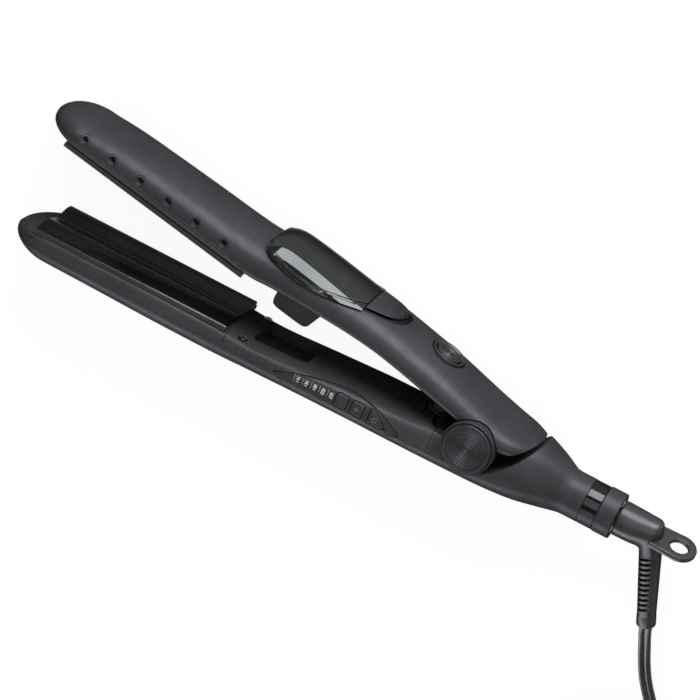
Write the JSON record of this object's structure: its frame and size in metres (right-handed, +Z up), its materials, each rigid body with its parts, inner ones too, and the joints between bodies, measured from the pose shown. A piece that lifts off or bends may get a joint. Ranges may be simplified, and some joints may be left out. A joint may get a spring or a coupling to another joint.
{
  "type": "hair crimper",
  "caption": "Steam hair crimper: two hinged arms with wave plates, snap-off water tank, push lock on the hinge, swivel cord.",
  "frame": {"origin": "on the hinge axis, in the plane that the tool lies on", "axes": "+X along the lower arm from its nose towards the cord, +Y from the lower arm to the upper arm, +Z up along the hinge axis"},
  "size_m": [0.3892, 0.2562, 0.0444],
  "materials": {
    "soft_touch": "satin, soft touch",
    "inner_plastic": "satin",
    "gloss_black": "polished",
    "tank_smoke": "polished, smoky",
    "crimp_coating": "semi gloss coating",
    "heater_ceramic": "matte",
    "mica": "satin",
    "board_green": "satin",
    "white_mark": "satin",
    "steel": "brushed",
    "bright_pins": "polished",
    "brass": "satin",
    "aluminium": "satin",
    "clear_plastic": "satin",
    "seal_rubber": "matte",
    "cord_rubber": "matte"
  },
  "bodies": {
    "lower_arm": {"lower_outer_shell": "soft_touch", "lower_inner_cover": "inner_plastic", "rear_cover": "soft_touch", "lower_plate_carrier": "inner_plastic", "lower_crimp_plate": "crimp_coating", "lower_heater": "heater_ceramic", "lower_insulator": "mica", "control_board": "board_green", "tact_switches": "steel", "indicator_lamps": "white_mark", "panel_bezel": "soft_touch", "lower_screws": "steel", "hinge_ears": "soft_touch", "hinge_pin": "steel", "hinge_bushes": "brass", "hinge_ring": "inner_plastic", "far_hinge_cap": "inner_plastic", "return_spring": "steel", "neck_inlay": "gloss_black", "swivel_bush": "clear_plastic", "mains_lead": "cord_rubber", "lead_coil": "cord_rubber", "lead_tie": "cord_rubber", "plug_body": "cord_rubber", "plug_pins": "bright_pins"},
    "power_key": {"power_button": "inner_plastic"},
    "minus_key": {"minus_button": "inner_plastic"},
    "plus_key": {"plus_button": "inner_plastic"},
    "lock_key": {"lock_button": "inner_plastic"},
    "cord_swivel": {"swivel_core": "inner_plastic", "contact_rings": "brass", "swivel_boot": "cord_rubber", "strain_relief": "cord_rubber", "hanging_loop": "cord_rubber"},
    "upper_arm": {"upper_outer_shell": "soft_touch", "upper_inner_cover": "inner_plastic", "upper_plate_carrier": "inner_plastic", "upper_crimp_plate": "crimp_coating", "upper_heater": "heater_ceramic", "upper_insulator": "mica", "chamber_housing": "inner_plastic", "steam_chamber": "aluminium", "steam_manifold": "clear_plastic", "vent_nozzles": "inner_plastic", "pump_body": "clear_plastic", "pump_spring": "steel", "water_hose": "clear_plastic", "tank_seal": "seal_rubber", "steam_button_ring": "inner_plastic", "steam_button_spring": "steel", "steam_switch": "inner_plastic", "hinge_yoke": "aluminium", "upper_screws": "steel"},
    "steam_key": {"steam_button": "inner_plastic"},
    "pump_piston": {"pump_plunger": "inner_plastic"},
    "tank": {"water_tank": "tank_smoke", "tank_base": "tank_smoke", "latch_spring": "steel"},
    "latch": {"tank_latch": "soft_touch"}
  },
  "joints": [
    {"name": "arm_hinge", "type": "hinge", "parent": "lower_arm", "child": "upper_arm", "pos_m": [0, 0, 0.0205], "axis": [0, 0, 1], "range_deg": [0, 10.3], "stiffness_Nm_per_rad": 0.6, "springref_deg": -5.73},
    {"name": "power_press", "type": "slide", "parent": "lower_arm", "child": "power_key", "axis": [0, 0, -1], "range_m": [0, 0.0007], "stiffness_N_per_m": 400},
    {"name": "minus_press", "type": "slide", "parent": "lower_arm", "child": "minus_key", "axis": [0, 0, -1], "range_m": [0, 0.0007], "stiffness_N_per_m": 400},
    {"name": "plus_press", "type": "slide", "parent": "lower_arm", "child": "plus_key", "axis": [0, 0, -1], "range_m": [0, 0.0007], "stiffness_N_per_m": 400},
    {"name": "lock_press", "type": "slide", "parent": "lower_arm", "child": "lock_key", "axis": [0, 0, -1], "range_m": [0, 0.0012], "stiffness_N_per_m": 500},
    {"name": "cord_turn", "type": "hinge", "parent": "lower_arm", "child": "cord_swivel", "pos_m": [0.071, -0.0057, 0.0205], "axis": [1, 0, 0], "continuous": true},
    {"name": "steam_press", "type": "slide", "parent": "upper_arm", "child": "steam_key", "axis": [-0.247, -0.969, 0], "range_m": [0, 0.0015], "stiffness_N_per_m": 300},
    {"name": "pump_stroke", "type": "slide", "parent": "upper_arm", "child": "pump_piston", "axis": [0.1788, 0.9839, 0], "range_m": [0, 0.0038]},
    {"name": "tank_lift", "type": "slide", "parent": "upper_arm", "child": "tank", "axis": [0.1788, 0.9839, 0], "range_m": [0, 0.025]},
    {"name": "latch_press", "type": "slide", "parent": "tank", "child": "latch", "axis": [0.9839, -0.1788, 0], "range_m": [0, 0.0014], "stiffness_N_per_m": 400}
  ],
  "couplings": [
    {"joint": "pump_stroke", "follows": "arm_hinge", "m_per_rad": 0.0211}
  ]
}
